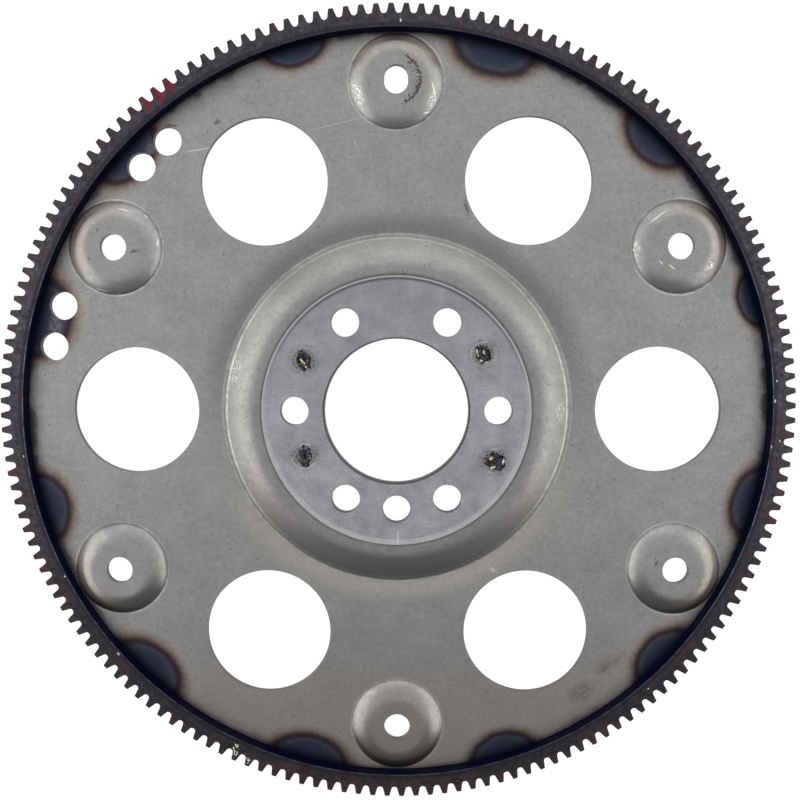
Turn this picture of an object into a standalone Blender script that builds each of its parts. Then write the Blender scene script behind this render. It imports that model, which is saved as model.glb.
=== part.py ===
"""Flexplate for an automatic transmission: a stamped steel sheet welded into a starter ring gear.

The axis is Z. The face that looks up takes the torque converter. The ring gear rests on Z zero.
All sizes are in metres.
"""
import math

import bmesh
import bpy
from mathutils import Vector
from mathutils.geometry import delaunay_2d_cdt

MM = 0.001

# Clearance left between two pieces that touch on the real object.
SEAT_GAP = 0.3 * MM

# Stamped sheet, heights above the back face of the ring gear.
SHEET_THICKNESS = 3.0 * MM
SHEET_ABOVE_RING_BACK = 2.0 * MM

# Converter pads.
PAD_COUNT = 6
PAD_CIRCLE_RADIUS = 146.5 * MM
PAD_FIRST_ANGLE = 30.0
PAD_RISE = 3.6 * MM
PAD_FLAT_RADIUS = 12.2 * MM
PAD_SHOULDER_WIDTH = 4.8 * MM
PAD_SHOULDER_DROP = 1.25 * MM
PAD_SLOPE_WIDTH = 4.0 * MM
PAD_HOLE_RADIUS = 5.95 * MM
PAD_SLOT_HALF_WIDTH = 5.3 * MM
PAD_SLOT_HALF_LENGTH = 6.4 * MM
PAD_SLOT_INDEX = 1

# Lightening holes.
LIGHTENING_COUNT = 6
LIGHTENING_RADIUS = 28.5 * MM
LIGHTENING_TO_DISH = 0.8 * MM

# Rim of the sheet and balance holes.
RIM_MARGIN = 0.5 * MM
BALANCE_HOLE_RADIUS = 6.35 * MM
BALANCE_EDGE_MARGIN = 3.35 * MM
BALANCE_ANGLES = (130.35, 136.32, 162.62, 169.47)

# Hub: sheet raised into a dish, with a flat disc on top.
HUB_RISE = 6.5 * MM
HUB_BORE_RADIUS = 32.2 * MM
HUB_PLATE_THICKNESS = 3.0 * MM
HUB_PLATE_EDGE_WIDTH = 8.2 * MM
HUB_EDGE_MARGIN = 4.5 * MM
DISH_SHOULDER_WIDTH = 3.6 * MM
DISH_SHOULDER_DROP = 1.1 * MM
DISH_SLOPE_WIDTH = 7.6 * MM
DISH_FOOT_WIDTH = 2.6 * MM
DISH_FOOT_RISE = 0.75 * MM
DISH_TROUGH_DEPTH = 0.8 * MM
DISH_TROUGH_WIDTH = 11.0 * MM

# Crankshaft bolt pattern, shared by the sheet and the disc.
CRANK_BOLT_COUNT = 6
CRANK_BOLT_HOLE_RADIUS = 6.35 * MM
CRANK_BOLT_TO_BORE = 6.92 * MM
DOWEL_HOLE_RADIUS = 6.2 * MM
DOWEL_TO_BORE = 5.7 * MM
DOWEL_ANGLE = 270.0

# Weld spots between the disc and the sheet: the angle of each and its distance from the bore.
HUB_WELD_ANGLES = (151.0, 33.3, 206.3, 332.8)
HUB_WELD_1_TO_BORE = 11.7 * MM
HUB_WELD_2_TO_BORE = 10.9 * MM
HUB_WELD_3_TO_BORE = 10.5 * MM
HUB_WELD_4_TO_BORE = 13.9 * MM
HUB_WELD_RADIUS = 3.0 * MM
HUB_WELD_CROWN = 0.5 * MM
HUB_WELD_SUNK = 0.5 * MM

# Ring gear.
RING_BACKING = 6.2 * MM
RING_ABOVE_SHEET = 5.0 * MM
RING_BORE_CHAMFER = 0.4 * MM
TOOTH_COUNT = 168
TOOTH_PHASE = 0.67
TOOTH_DEPTH = 4.3 * MM
TOOTH_TIP_WIDTH = 2.1 * MM
TOOTH_FILLET_HEIGHT = 1.0 * MM
TOOTH_SPACE_AT_FILLET = 2.75 * MM
TOOTH_SPACE_FLOOR = 1.1 * MM

# Fillet beads between the ring and the back of the sheet.
RING_WELD_COUNT = 12
RING_WELD_FIRST_ANGLE = 15.0
RING_WELD_LENGTH = 21.0 * MM
RING_WELD_LEG = 3.0 * MM
RING_WELD_FACE_RISE = 0.3 * MM
RING_WELD_THROAT_SHARE = 0.42

# How finely round edges are divided.
RIM_SEGMENTS = 84
DISH_SEGMENTS = 60
BORE_SEGMENTS = 42
LIGHTENING_SEGMENTS = 32
PAD_SEGMENTS = 20
BOLT_HOLE_SEGMENTS = 14
HUB_WELD_SEGMENTS = 12
RING_WELD_SEGMENTS = 6
SAME_POINT = 0.01 * MM

# Sizes that follow from the ones above.
SHEET_BOTTOM = SHEET_ABOVE_RING_BACK
SHEET_TOP = SHEET_BOTTOM + SHEET_THICKNESS
PAD_SHOULDER_RADIUS = PAD_FLAT_RADIUS + PAD_SHOULDER_WIDTH
PAD_FOOT_RADIUS = PAD_SHOULDER_RADIUS + PAD_SLOPE_WIDTH
RIM_RADIUS = PAD_CIRCLE_RADIUS + PAD_FOOT_RADIUS + RIM_MARGIN
BALANCE_CIRCLE_RADIUS = RIM_RADIUS - BALANCE_EDGE_MARGIN - BALANCE_HOLE_RADIUS
RING_BORE_RADIUS = RIM_RADIUS + SEAT_GAP
RING_TOP = SHEET_TOP + RING_ABOVE_SHEET
ROOT_RADIUS = RING_BORE_RADIUS + RING_BACKING
TIP_RADIUS = ROOT_RADIUS + TOOTH_DEPTH
CRANK_BOLT_CIRCLE_RADIUS = HUB_BORE_RADIUS + CRANK_BOLT_TO_BORE + CRANK_BOLT_HOLE_RADIUS
DOWEL_CIRCLE_RADIUS = HUB_BORE_RADIUS + DOWEL_TO_BORE + DOWEL_HOLE_RADIUS
HUB_WELD_RADII = (
    HUB_BORE_RADIUS + HUB_WELD_1_TO_BORE + HUB_WELD_RADIUS,
    HUB_BORE_RADIUS + HUB_WELD_2_TO_BORE + HUB_WELD_RADIUS,
    HUB_BORE_RADIUS + HUB_WELD_3_TO_BORE + HUB_WELD_RADIUS,
    HUB_BORE_RADIUS + HUB_WELD_4_TO_BORE + HUB_WELD_RADIUS,
)
HUB_PLATE_RADIUS = CRANK_BOLT_CIRCLE_RADIUS + CRANK_BOLT_HOLE_RADIUS + HUB_PLATE_EDGE_WIDTH
HUB_SHEET_TOP = SHEET_TOP + HUB_RISE
HUB_PLATE_BOTTOM = HUB_SHEET_TOP + SEAT_GAP
HUB_PLATE_TOP = HUB_PLATE_BOTTOM + HUB_PLATE_THICKNESS
DISH_FLAT_RADIUS = HUB_PLATE_RADIUS + HUB_EDGE_MARGIN
DISH_SHOULDER_RADIUS = DISH_FLAT_RADIUS + DISH_SHOULDER_WIDTH
DISH_SLOPE_RADIUS = DISH_SHOULDER_RADIUS + DISH_SLOPE_WIDTH
DISH_FOOT_RADIUS = DISH_SLOPE_RADIUS + DISH_FOOT_WIDTH
DISH_END_RADIUS = DISH_FOOT_RADIUS + DISH_TROUGH_WIDTH
LIGHTENING_CIRCLE_RADIUS = DISH_END_RADIUS + LIGHTENING_TO_DISH + LIGHTENING_RADIUS

# Radius and rise above the flat web, from the hub outwards.
DISH_PROFILE = (
    (DISH_FLAT_RADIUS, HUB_RISE),
    (DISH_SHOULDER_RADIUS, HUB_RISE - DISH_SHOULDER_DROP),
    (DISH_SLOPE_RADIUS, DISH_FOOT_RISE),
    (DISH_FOOT_RADIUS, -DISH_TROUGH_DEPTH),
    (DISH_END_RADIUS, 0.0),
)

# Distance from the pad centre and rise above the web.
PAD_PROFILE = (
    (PAD_FLAT_RADIUS, PAD_RISE),
    (PAD_SHOULDER_RADIUS, PAD_RISE - PAD_SHOULDER_DROP),
    (PAD_FOOT_RADIUS, 0.0),
)

# Colour, roughness and metallic of each material.
RING_STEEL = ((0.045, 0.047, 0.058), 0.55, 0.8)
SHEET_STEEL = ((0.36, 0.35, 0.335), 0.42, 0.9)
DISC_STEEL = ((0.37, 0.39, 0.41), 0.4, 0.9)
BURNT_WELD = ((0.09, 0.075, 0.05), 0.6, 0.7)
BEAD_STEEL = ((0.11, 0.1, 0.1), 0.5, 0.8)


def clear_scene():
    """Remove the objects that a new file starts with."""
    for old in list(bpy.data.objects):
        bpy.data.objects.remove(old, do_unlink=True)


def give_material(obj, look):
    """Give the object its own steel."""
    colour, roughness, metallic = look
    material = bpy.data.materials.new(obj.name + "_steel")
    material.use_nodes = True
    shader = material.node_tree.nodes["Principled BSDF"]
    shader.inputs["Base Color"].default_value = (*colour, 1.0)
    shader.inputs["Roughness"].default_value = roughness
    shader.inputs["Metallic"].default_value = metallic
    obj.data.materials.append(material)


def add_body(name, verts, faces, look):
    """Make one closed body from points and faces, with its faces pointing out."""
    mesh = bpy.data.meshes.new(name)
    mesh.from_pydata(verts, [], faces)
    work = bmesh.new()
    work.from_mesh(mesh)
    bmesh.ops.recalc_face_normals(work, faces=work.faces)
    work.to_mesh(mesh)
    work.free()
    obj = bpy.data.objects.new(name, mesh)
    bpy.context.scene.collection.objects.link(obj)
    give_material(obj, look)
    return obj


def polar(radius, degrees):
    """Point at this radius and angle round the axis."""
    turn = math.radians(degrees)
    return Vector((radius * math.cos(turn), radius * math.sin(turn)))


def circle(centre, radius, segments):
    """Closed round loop."""
    return [centre + polar(radius, 360.0 * i / segments) for i in range(segments)]


def slot(centre, half_width, half_length, degrees, segments):
    """Closed loop with round ends, long in the given direction."""
    along = polar(1.0, degrees)
    shift = half_length - half_width
    loop = []
    for point in circle(Vector((0.0, 0.0)), half_width, segments):
        side = 1.0 if point.dot(along) >= 0.0 else -1.0
        loop.append(centre + point + along * (shift * side))
    return loop


def round_pattern(count, circle_radius, first_angle):
    """Centres spaced evenly on a circle."""
    return [polar(circle_radius, first_angle + 360.0 * i / count) for i in range(count)]


def pad_centres():
    """Centres of the converter pads."""
    return round_pattern(PAD_COUNT, PAD_CIRCLE_RADIUS, PAD_FIRST_ANGLE)


def profile_rise(profile, distance):
    """Rise read off a list of distance and rise, straight between its points."""
    if distance <= profile[0][0]:
        return profile[0][1]
    for (near, rise_near), (far, rise_far) in zip(profile, profile[1:]):
        if distance <= far:
            share = (distance - near) / (far - near)
            return rise_near + (rise_far - rise_near) * share
    return profile[-1][1]


def sheet_height(point):
    """Height of the upper face of the stamped sheet."""
    rise = profile_rise(DISH_PROFILE, point.length)
    for centre in pad_centres():
        rise += profile_rise(PAD_PROFILE, (point - centre).length)
    return SHEET_TOP + rise


def disc_height(point):
    """Height of the upper face of the flat disc."""
    return HUB_PLATE_TOP


def inside(loop, point):
    """Whether the point lies within the loop."""
    hit = False
    last = loop[-1]
    for corner in loop:
        if (corner.y > point.y) != (last.y > point.y):
            across = (point.y - last.y) / (corner.y - last.y)
            if point.x < last.x + across * (corner.x - last.x):
                hit = not hit
        last = corner
    return hit


def plate_triangles(outline, holes, creases):
    """Cut the plan of a plate into triangles that follow every loop."""
    points = []
    edges = []
    for loop in [outline] + holes + creases:
        start = len(points)
        points.extend(loop)
        edges.extend((start + i, start + (i + 1) % len(loop)) for i in range(len(loop)))
    plan = delaunay_2d_cdt(points, edges, [], 0, SAME_POINT)
    kept = []
    for face in plan[2]:
        middle = sum((plan[0][i] for i in face), Vector((0.0, 0.0))) / len(face)
        if inside(outline, middle) and not any(inside(hole, middle) for hole in holes):
            kept.append(tuple(face))
    used = sorted({i for face in kept for i in face})
    place = {old: new for new, old in enumerate(used)}
    faces = [tuple(place[i] for i in face) for face in kept]
    return [plan[0][i] for i in used], faces


def plate_body(name, outline, holes, creases, height, thickness, look):
    """Plate of even thickness whose upper face follows a height function."""
    plan, faces = plate_triangles(outline, holes, creases)
    count = len(plan)
    tops = [height(point) for point in plan]
    verts = [(p.x, p.y, top) for p, top in zip(plan, tops)]
    verts += [(p.x, p.y, top - thickness) for p, top in zip(plan, tops)]
    directed = {(a, b) for face in faces for a, b in zip(face, face[1:] + face[:1])}
    walls = [(b, a, a + count, b + count) for a, b in sorted(directed) if (b, a) not in directed]
    under = [tuple(i + count for i in reversed(face)) for face in faces]
    return add_body(name, verts, faces + under + walls, look)


def crank_holes():
    """Bore, bolt holes and dowel hole shared by the sheet and the disc."""
    loops = [circle(Vector((0.0, 0.0)), HUB_BORE_RADIUS, BORE_SEGMENTS)]
    for centre in round_pattern(CRANK_BOLT_COUNT, CRANK_BOLT_CIRCLE_RADIUS, 0.0):
        loops.append(circle(centre, CRANK_BOLT_HOLE_RADIUS, BOLT_HOLE_SEGMENTS))
    dowel = polar(DOWEL_CIRCLE_RADIUS, DOWEL_ANGLE)
    loops.append(circle(dowel, DOWEL_HOLE_RADIUS, BOLT_HOLE_SEGMENTS))
    return loops


def pad_hole(index, centre):
    """Hole in one converter pad: round, but one is a slot that points at the axis."""
    if index == PAD_SLOT_INDEX:
        angle = math.degrees(math.atan2(centre.y, centre.x))
        return slot(centre, PAD_SLOT_HALF_WIDTH, PAD_SLOT_HALF_LENGTH, angle, BOLT_HOLE_SEGMENTS)
    return circle(centre, PAD_HOLE_RADIUS, BOLT_HOLE_SEGMENTS)


def build_drive_plate():
    """Stamped sheet with its dish, pads and holes."""
    axis = Vector((0.0, 0.0))
    outline = circle(axis, RIM_RADIUS, RIM_SEGMENTS)
    holes = crank_holes()
    creases = [circle(axis, radius, DISH_SEGMENTS) for radius, _ in DISH_PROFILE]
    for index, centre in enumerate(pad_centres()):
        holes.append(pad_hole(index, centre))
        creases += [circle(centre, radius, PAD_SEGMENTS) for radius, _ in PAD_PROFILE]
    for centre in round_pattern(LIGHTENING_COUNT, LIGHTENING_CIRCLE_RADIUS, 0.0):
        holes.append(circle(centre, LIGHTENING_RADIUS, LIGHTENING_SEGMENTS))
    for angle in BALANCE_ANGLES:
        centre = polar(BALANCE_CIRCLE_RADIUS, angle)
        holes.append(circle(centre, BALANCE_HOLE_RADIUS, BOLT_HOLE_SEGMENTS))
    plate_body("drive_plate", outline, holes, creases, sheet_height, SHEET_THICKNESS, SHEET_STEEL)


def hub_weld_centres():
    """Centres of the weld spots."""
    return [polar(radius, angle) for radius, angle in zip(HUB_WELD_RADII, HUB_WELD_ANGLES)]


def build_hub_plate():
    """Flat disc on the hub, with a hole for each weld spot."""
    outline = circle(Vector((0.0, 0.0)), HUB_PLATE_RADIUS, DISH_SEGMENTS)
    holes = crank_holes()
    for centre in hub_weld_centres():
        holes.append(circle(centre, HUB_WELD_RADIUS + SEAT_GAP, HUB_WELD_SEGMENTS))
    plate_body("hub_plate", outline, holes, [], disc_height, HUB_PLATE_THICKNESS, DISC_STEEL)


def build_hub_welds():
    """Weld spots: short plugs with a raised middle, sunk below the face of the disc."""
    bottom = HUB_SHEET_TOP + SEAT_GAP
    rim = HUB_PLATE_TOP - HUB_WELD_SUNK - HUB_WELD_CROWN
    for index, centre in enumerate(hub_weld_centres()):
        ring = circle(centre, HUB_WELD_RADIUS, HUB_WELD_SEGMENTS)
        verts = [(p.x, p.y, bottom) for p in ring]
        verts += [(p.x, p.y, rim) for p in ring]
        verts.append((centre.x, centre.y, rim + HUB_WELD_CROWN))
        n = HUB_WELD_SEGMENTS
        faces = [tuple(range(n))]
        faces += [(i, (i + 1) % n, n + (i + 1) % n, n + i) for i in range(n)]
        faces += [(n + i, n + (i + 1) % n, 2 * n) for i in range(n)]
        add_body("hub_weld_%d" % (index + 1), verts, faces, BURNT_WELD)


def tooth_outline():
    """Outline of the ring seen along the axis, six points a tooth, and the points a tooth uses."""
    step = 2.0 * math.pi / TOOTH_COUNT
    fillet_radius = ROOT_RADIUS + TOOTH_FILLET_HEIGHT
    floor = step / 2.0 - TOOTH_SPACE_FLOOR / (2.0 * ROOT_RADIUS)
    foot = step / 2.0 - TOOTH_SPACE_AT_FILLET / (2.0 * fillet_radius)
    tip = TOOTH_TIP_WIDTH / (2.0 * TIP_RADIUS)
    half = [(floor, ROOT_RADIUS), (foot, fillet_radius), (tip, TIP_RADIUS)]
    tooth = [(-turn, radius) for turn, radius in half] + half[::-1]
    outline = []
    for index in range(TOOTH_COUNT):
        middle = math.radians(TOOTH_PHASE) + index * step
        for turn, radius in tooth:
            outline.append((radius * math.cos(middle + turn), radius * math.sin(middle + turn)))
    return outline, len(tooth)


def build_ring_gear():
    """Starter ring gear: one closed ring with a chamfered bore edge on the upper face."""
    outline, per_tooth = tooth_outline()
    total = len(outline)
    step = 2.0 * math.pi / TOOTH_COUNT
    first = math.radians(TOOTH_PHASE) - step / 2.0
    loops = (
        (RING_BORE_RADIUS, 0.0),
        (RING_BORE_RADIUS, RING_TOP - RING_BORE_CHAMFER),
        (RING_BORE_RADIUS + RING_BORE_CHAMFER, RING_TOP),
    )
    verts = [(x, y, 0.0) for x, y in outline] + [(x, y, RING_TOP) for x, y in outline]
    for radius, z in loops:
        for i in range(TOOTH_COUNT):
            turn = first + i * step
            verts.append((radius * math.cos(turn), radius * math.sin(turn), z))
    bore = [2 * total + k * TOOTH_COUNT for k in range(len(loops))]
    faces = [(i, (i + 1) % total, total + (i + 1) % total, total + i) for i in range(total)]
    for i in range(TOOTH_COUNT):
        after = (i + 1) % TOOTH_COUNT
        edge = [(i * per_tooth + k) % total for k in range(per_tooth)]
        following = after * per_tooth
        faces.append((bore[0] + i, bore[0] + after, following, *reversed(edge)))
        upper = [total + k for k in edge]
        faces.append((*upper, total + following, bore[2] + after, bore[2] + i))
        faces.append((bore[0] + i, bore[1] + i, bore[1] + after, bore[0] + after))
        faces.append((bore[1] + i, bore[2] + i, bore[2] + after, bore[1] + after))
    add_body("ring_gear", verts, faces, RING_STEEL)


def build_ring_welds():
    """Fillet beads in the corner between the bore of the ring and the back of the sheet."""
    outer = RING_BORE_RADIUS - SEAT_GAP
    top = SHEET_BOTTOM - SEAT_GAP
    inner = outer - RING_WELD_LEG
    bulge_radius = outer - RING_WELD_LEG * RING_WELD_THROAT_SHARE
    bulge_z = RING_WELD_FACE_RISE + (top - RING_WELD_FACE_RISE) * RING_WELD_THROAT_SHARE / 2.0
    section = ((outer, top), (inner, top), (bulge_radius, bulge_z), (outer, RING_WELD_FACE_RISE))
    n = len(section)
    spread = math.degrees(RING_WELD_LENGTH / outer)
    for index in range(RING_WELD_COUNT):
        middle = RING_WELD_FIRST_ANGLE + 360.0 * index / RING_WELD_COUNT
        verts = []
        for k in range(RING_WELD_SEGMENTS + 1):
            angle = middle + spread * (k / RING_WELD_SEGMENTS - 0.5)
            for radius, z in section:
                flat = polar(radius, angle)
                verts.append((flat.x, flat.y, z))
        faces = [tuple(range(n)), tuple(RING_WELD_SEGMENTS * n + i for i in reversed(range(n)))]
        for k in range(RING_WELD_SEGMENTS):
            a = k * n
            faces += [(a + i, a + n + i, a + n + (i + 1) % n, a + (i + 1) % n) for i in range(n)]
        add_body("ring_weld_%02d" % (index + 1), verts, faces, BEAD_STEEL)


def build():
    """Build every piece."""
    clear_scene()
    build_ring_gear()
    build_drive_plate()
    build_hub_plate()
    build_hub_welds()
    build_ring_welds()


build()
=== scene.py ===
"""Flexplate as photographed from the converter side, lying on a white sweep.

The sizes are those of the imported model, whose nodes the pieces here replace at the same places. Each
section makes one piece or one set of like pieces.
"""
import math

import bmesh
import bpy
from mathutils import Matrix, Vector, noise


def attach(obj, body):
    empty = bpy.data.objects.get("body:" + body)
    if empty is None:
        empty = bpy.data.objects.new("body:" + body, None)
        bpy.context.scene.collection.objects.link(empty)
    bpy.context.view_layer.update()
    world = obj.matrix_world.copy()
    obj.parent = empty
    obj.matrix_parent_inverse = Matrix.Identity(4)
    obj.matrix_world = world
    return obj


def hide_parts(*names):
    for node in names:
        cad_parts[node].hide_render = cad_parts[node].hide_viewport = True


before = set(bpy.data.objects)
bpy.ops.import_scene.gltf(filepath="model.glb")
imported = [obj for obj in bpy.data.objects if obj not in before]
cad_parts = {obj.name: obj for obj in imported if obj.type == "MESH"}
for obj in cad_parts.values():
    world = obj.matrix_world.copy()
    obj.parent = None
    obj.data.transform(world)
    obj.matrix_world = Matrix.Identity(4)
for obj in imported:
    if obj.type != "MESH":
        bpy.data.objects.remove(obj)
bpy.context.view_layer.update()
MM = 0.001


# Ring gear: the starter ring, rolled from bar, welded shut, hobbed and hardened. Its bore stands
# proud of the sheet. Each tooth has a narrow flat tip, straight flanks, a rounded root, a light
# break on the upper end and the starter's lead-in on the lower one.
TEETH = 168
TOOTH_PHASE = 0.67
RING_BORE = 168.3 * MM
RING_ROOT = 174.5 * MM
RING_TIP = 178.8 * MM
RING_HEIGHT = 10.0 * MM
TIP_HALF = 1.05 * MM
FOOT_HALF = 2.17 * MM
ROOT_FILLET = 0.9 * MM
TIP_ROUND = 0.14 * MM
BORE_CHAMFER = 0.4 * MM
FRONT_BREAK = 0.22 * MM
LEAD_IN = 0.55 * MM


def start_edit(obj):
    """Make this the only selected object and open it with nothing picked in it."""
    bpy.ops.object.select_all(action="DESELECT")
    obj.select_set(True)
    bpy.context.view_layer.objects.active = obj
    bpy.ops.object.mode_set(mode="EDIT")
    bpy.ops.mesh.select_all(action="DESELECT")


def pick(obj, kind, wanted):
    """Select the vertices, edges or faces whose middle passes the test, and nothing else."""
    bpy.context.tool_settings.mesh_select_mode = (kind == "verts", kind == "edges", kind == "faces")
    work = bmesh.from_edit_mesh(obj.data)
    for group in (work.verts, work.edges, work.faces):
        for part in group:
            part.select_set(False)
    for part in getattr(work, kind):
        middle = part.co if kind == "verts" else sum((v.co for v in part.verts), Vector()) / len(part.verts)
        if wanted(middle, part):
            part.select_set(True)
    work.select_flush_mode()
    bmesh.update_edit_mesh(obj.data)


def finish_piece(obj, name, angle=38.0):
    """Leave edit mode, settle the object at the origin and shade it by its angles."""
    bpy.ops.object.mode_set(mode="OBJECT")
    bpy.ops.object.select_all(action="DESELECT")
    obj.select_set(True)
    bpy.context.view_layer.objects.active = obj
    bpy.ops.object.transform_apply(location=True, rotation=True, scale=True)
    bpy.ops.object.shade_smooth_by_angle(angle=math.radians(angle))
    flats = obj.modifiers.new("flats", "WEIGHTED_NORMAL")
    flats.keep_sharp = True
    bpy.ops.object.modifier_apply(modifier="flats")
    obj.name = name
    obj.data.name = name


bpy.ops.object.select_all(action="DESELECT")
half_step = math.pi / TEETH
bpy.ops.mesh.primitive_cube_add(size=1.0, location=(0.0, 0.0, 0.0))
ring = bpy.context.object
start_edit(ring)
sector_in = RING_BORE * math.cos(half_step)
sector_out = RING_ROOT * math.cos(half_step)
bpy.ops.mesh.select_all(action="SELECT")
bpy.ops.transform.resize(value=(2.0 * RING_ROOT * math.sin(half_step), sector_out - sector_in, RING_HEIGHT))
bpy.ops.transform.translate(value=(0.0, (sector_in + sector_out) / 2.0, RING_HEIGHT / 2.0))
pick(ring, "faces", lambda p, f: f.normal.y < -0.9)
bpy.ops.transform.resize(value=(RING_BORE / RING_ROOT, 1.0, 1.0))
for side in (-1.0, 1.0):
    bpy.ops.mesh.select_all(action="SELECT")
    bpy.ops.mesh.bisect(plane_co=(side * FOOT_HALF, 0.0, 0.0), plane_no=(1.0, 0.0, 0.0))
pick(ring, "faces", lambda p, f: abs(p.x) < 1e-6 and f.normal.y > 0.9)
bpy.ops.mesh.extrude_region_move(TRANSFORM_OT_translate={"value": (0.0, RING_TIP - sector_out, 0.0)})
bpy.ops.transform.resize(value=(TIP_HALF / FOOT_HALF, 1.0, 1.0))
pick(ring, "faces", lambda p, f: abs(f.normal.x) > 0.95 and p.y < RING_ROOT and abs(p.x) > FOOT_HALF)
bpy.ops.mesh.delete(type="FACE")
upright = lambda e: abs(e.verts[0].co.z - e.verts[1].co.z) > RING_HEIGHT / 2.0
at_foot = lambda p: abs(abs(p.x) - FOOT_HALF) < 1e-5 and abs(p.y - sector_out) < 1e-5
pick(ring, "edges", lambda p, e: upright(e) and at_foot(p))
bpy.ops.mesh.bevel(offset=ROOT_FILLET, segments=4, affect="EDGES")
pick(ring, "edges", lambda p, e: upright(e) and abs(p.y - RING_TIP) < 1e-5)
bpy.ops.mesh.bevel(offset=TIP_ROUND, segments=1, affect="EDGES")
pick(ring, "edges", lambda p, e: abs(p.z - RING_HEIGHT) < 1e-6 and abs(p.y - sector_in) < 1e-5)
bpy.ops.mesh.bevel(offset=BORE_CHAMFER, segments=2, affect="EDGES")
turned = lambda e: abs(e.link_faces[0].normal.z - e.link_faces[1].normal.z) > 0.6
outer_edge = lambda p, e: len(e.link_faces) == 2 and turned(e) and p.y > sector_out - 1e-4
pick(ring, "edges", lambda p, e: abs(p.z - RING_HEIGHT) < 1e-6 and outer_edge(p, e))
bpy.ops.mesh.bevel(offset=FRONT_BREAK, segments=1, affect="EDGES")
pick(ring, "edges", lambda p, e: abs(p.z) < 1e-6 and outer_edge(p, e))
bpy.ops.mesh.bevel(offset=LEAD_IN, segments=1, affect="EDGES")
bpy.ops.mesh.select_all(action="SELECT")
last_turn = 2.0 * math.pi / TEETH * (TEETH - 1)
bpy.ops.mesh.spin(steps=TEETH - 1, dupli=True, angle=last_turn, center=(0, 0, 0), axis=(0, 0, 1))
bpy.ops.mesh.select_all(action="SELECT")
bpy.ops.mesh.remove_doubles(threshold=2e-6)
bpy.ops.mesh.normals_make_consistent(inside=False)
bpy.ops.object.mode_set(mode="OBJECT")
ring.rotation_euler.z = math.radians(TOOTH_PHASE)
finish_piece(ring, "starter_ring", 30.0)
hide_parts("ring_gear")
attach(ring, "root")


def srgb(hex_text):
    """Linear colour of an sRGB hex value."""
    parts = [int(hex_text[i:i + 2], 16) / 255.0 for i in (0, 2, 4)]
    return tuple(p / 12.92 if p <= 0.04045 else ((p + 0.055) / 1.055) ** 2.4 for p in parts) + (1.0,)


def add_node(tree, kind, links=None, stops=(), **settings):
    """Add one node with its settings, fixed values, links and, for a ramp, stops of place and sRGB hex."""
    new = tree.nodes.new(kind)
    for key, value in settings.items():
        setattr(new, key, value)
    for place, value in (links or {}).items():
        if isinstance(value, bpy.types.NodeSocket):
            tree.links.new(value, new.inputs[place])
        else:
            new.inputs[place].default_value = value
    for place, colour in stops[1:-1]:
        new.color_ramp.elements.new(place)
    for index, (place, colour) in enumerate(stops):
        new.color_ramp.elements[index].position = place
        new.color_ramp.elements[index].color = srgb(colour)
    return new


def new_material(name):
    """A material with an empty tree but for its shader and output, and its object coordinates."""
    material = bpy.data.materials.new(name)
    material.use_nodes = True
    tree = material.node_tree
    where = add_node(tree, "ShaderNodeTexCoord").outputs["Object"]
    return material, tree, tree.nodes["Principled BSDF"], where


def pattern(tree, where, kind, size, **inputs):
    """A pattern of this kind, whose features are about this many millimetres wide."""
    links = {"Vector": where, "Scale": 1.0 / (size * MM)}
    links.update(inputs)
    return add_node(tree, "ShaderNodeTex" + kind, links).outputs[0]


def mask(tree, *parts, by="MULTIPLY"):
    """One value from several parts, as their product if nothing else is said.

    A part is a value, or a tuple of a value, low, high, start and end. The tuple's value goes smoothly
    from start to end, which are 0 and 1 if left out, while it runs from low to high.
    """
    found = None
    for part in parts:
        if isinstance(part, tuple):
            ends = dict(zip(("Value", "From Min", "From Max", "To Min", "To Max"), part))
            part = add_node(tree, "ShaderNodeMapRange", ends, interpolation_type="SMOOTHSTEP").outputs[0]
        if found is None:
            found = part
        else:
            found = add_node(tree, "ShaderNodeMath", {0: found, 1: part}, operation=by).outputs[0]
    return found


def layer(tree, under, colour, *parts):
    """Lay an sRGB hex colour, or a computed one, over what is there, as strongly as its mask's parts say."""
    over = srgb(colour) if isinstance(colour, str) else colour
    mixed = add_node(tree, "ShaderNodeMix", {0: mask(tree, *parts), 6: under, 7: over}, data_type="RGBA")
    return mixed.outputs[2]


def from_axis(tree, where):
    """Distance from the axis of the part."""
    flat = add_node(tree, "ShaderNodeVectorMath", {0: where, 1: (1.0, 1.0, 0.0)}, operation="MULTIPLY")
    return add_node(tree, "ShaderNodeVectorMath", {0: flat.outputs[0]}, operation="LENGTH").outputs["Value"]


def near_marks(tree, where, marks):
    """Distance to the nearest oval mark, 1 at its edge.

    A mark is its radius, its angle, its half sizes outwards and round, and its turn, in millimetres and
    degrees.
    """
    nearest = None
    for radius, angle, half_out, half_round, turn in marks:
        lean = math.radians(angle)
        settings = {
            "Vector": where,
            "Location": (radius * MM * math.cos(lean), radius * MM * math.sin(lean), 0.0),
            "Rotation": (0.0, 0.0, math.radians(angle + turn)),
            "Scale": (half_out * MM, half_round * MM, 1000.0),
        }
        local = add_node(tree, "ShaderNodeMapping", settings, vector_type="TEXTURE").outputs[0]
        gap = add_node(tree, "ShaderNodeVectorMath", {0: local}, operation="LENGTH").outputs["Value"]
        nearest = gap if nearest is None else mask(tree, nearest, gap, by="MINIMUM")
    return nearest


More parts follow.
